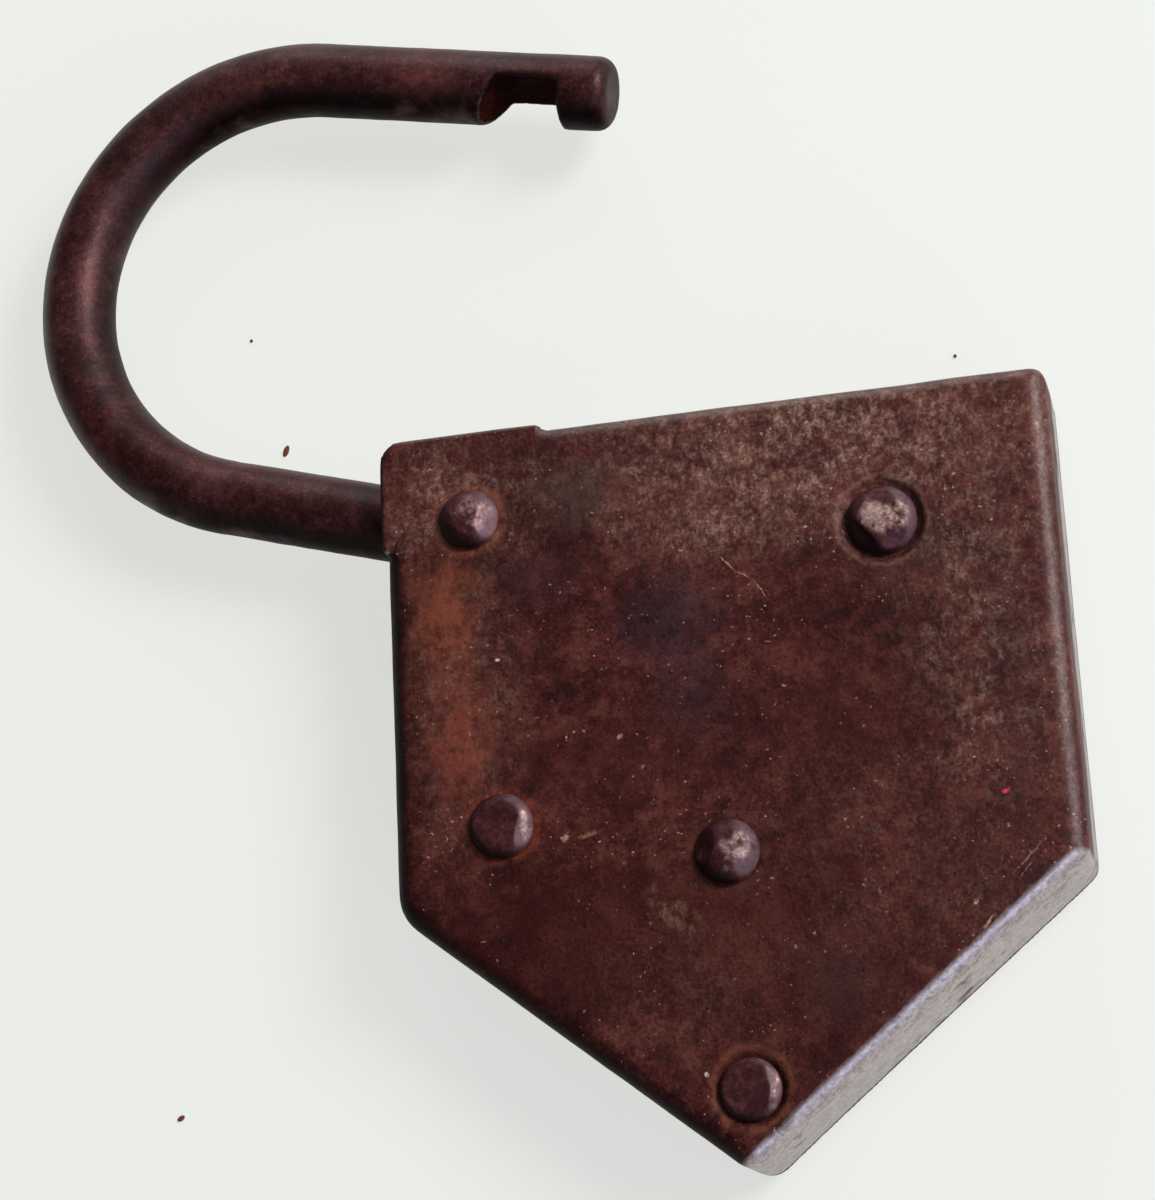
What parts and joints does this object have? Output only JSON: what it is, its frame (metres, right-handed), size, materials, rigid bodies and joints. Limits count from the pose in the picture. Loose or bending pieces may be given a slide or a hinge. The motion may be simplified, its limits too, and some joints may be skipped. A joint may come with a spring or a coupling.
{
  "type": "rusty padlock",
  "caption": "Old riveted iron padlock with a pointed flat case and a round-bar shackle that swings open on a rivet.",
  "frame": {"origin": "on the outer face of the flat cover plate, in the middle of the case's width and height", "axes": "+X across the case, the shackle's rivet on the -X side; +Y up the case towards the shackle; +Z out of the face with the rivet heads"},
  "size_m": [0.1165, 0.1351, 0.0177],
  "materials": {
    "case_iron": "rusty brown sheet iron, satin, scuffed",
    "cover_iron": "rusty brown sheet iron",
    "shackle_iron": "dark purple-brown forged bar, satin, rust spots",
    "rivet_iron": "hammered rivet heads, worn tops",
    "lock_steel": "dull greased steel inside the lock"
  },
  "bodies": {
    "case": {"case_shell": "case_iron", "cover_plate": "cover_iron", "shackle_rivet": "rivet_iron", "guide_rivet": "rivet_iron", "side_rivet": "rivet_iron", "tip_rivet": "rivet_iron", "key_pin": "rivet_iron", "shackle_washer_front": "lock_steel", "shackle_washer_back": "lock_steel", "guide_sleeve_front": "lock_steel", "guide_sleeve_back": "lock_steel", "side_sleeve_front": "lock_steel", "side_sleeve_back": "lock_steel", "tip_sleeve": "lock_steel", "ward_ring_front": "lock_steel", "ward_ring_back": "lock_steel", "leaf_spring": "lock_steel", "spring_post": "lock_steel"},
    "shackle": {"shackle": "shackle_iron"},
    "bolt": {"bolt": "lock_steel"}
  },
  "joints": [
    {"name": "shackle_swing", "type": "hinge", "parent": "case", "child": "shackle", "pos_m": [-0.0265, 0.031, 0.0078], "axis": [0, 0, 1], "range_deg": [-77.8, 0]},
    {"name": "bolt_slide", "type": "slide", "parent": "case", "child": "bolt", "axis": [1, 0, 0], "range_m": [0, 0.0051]}
  ]
}
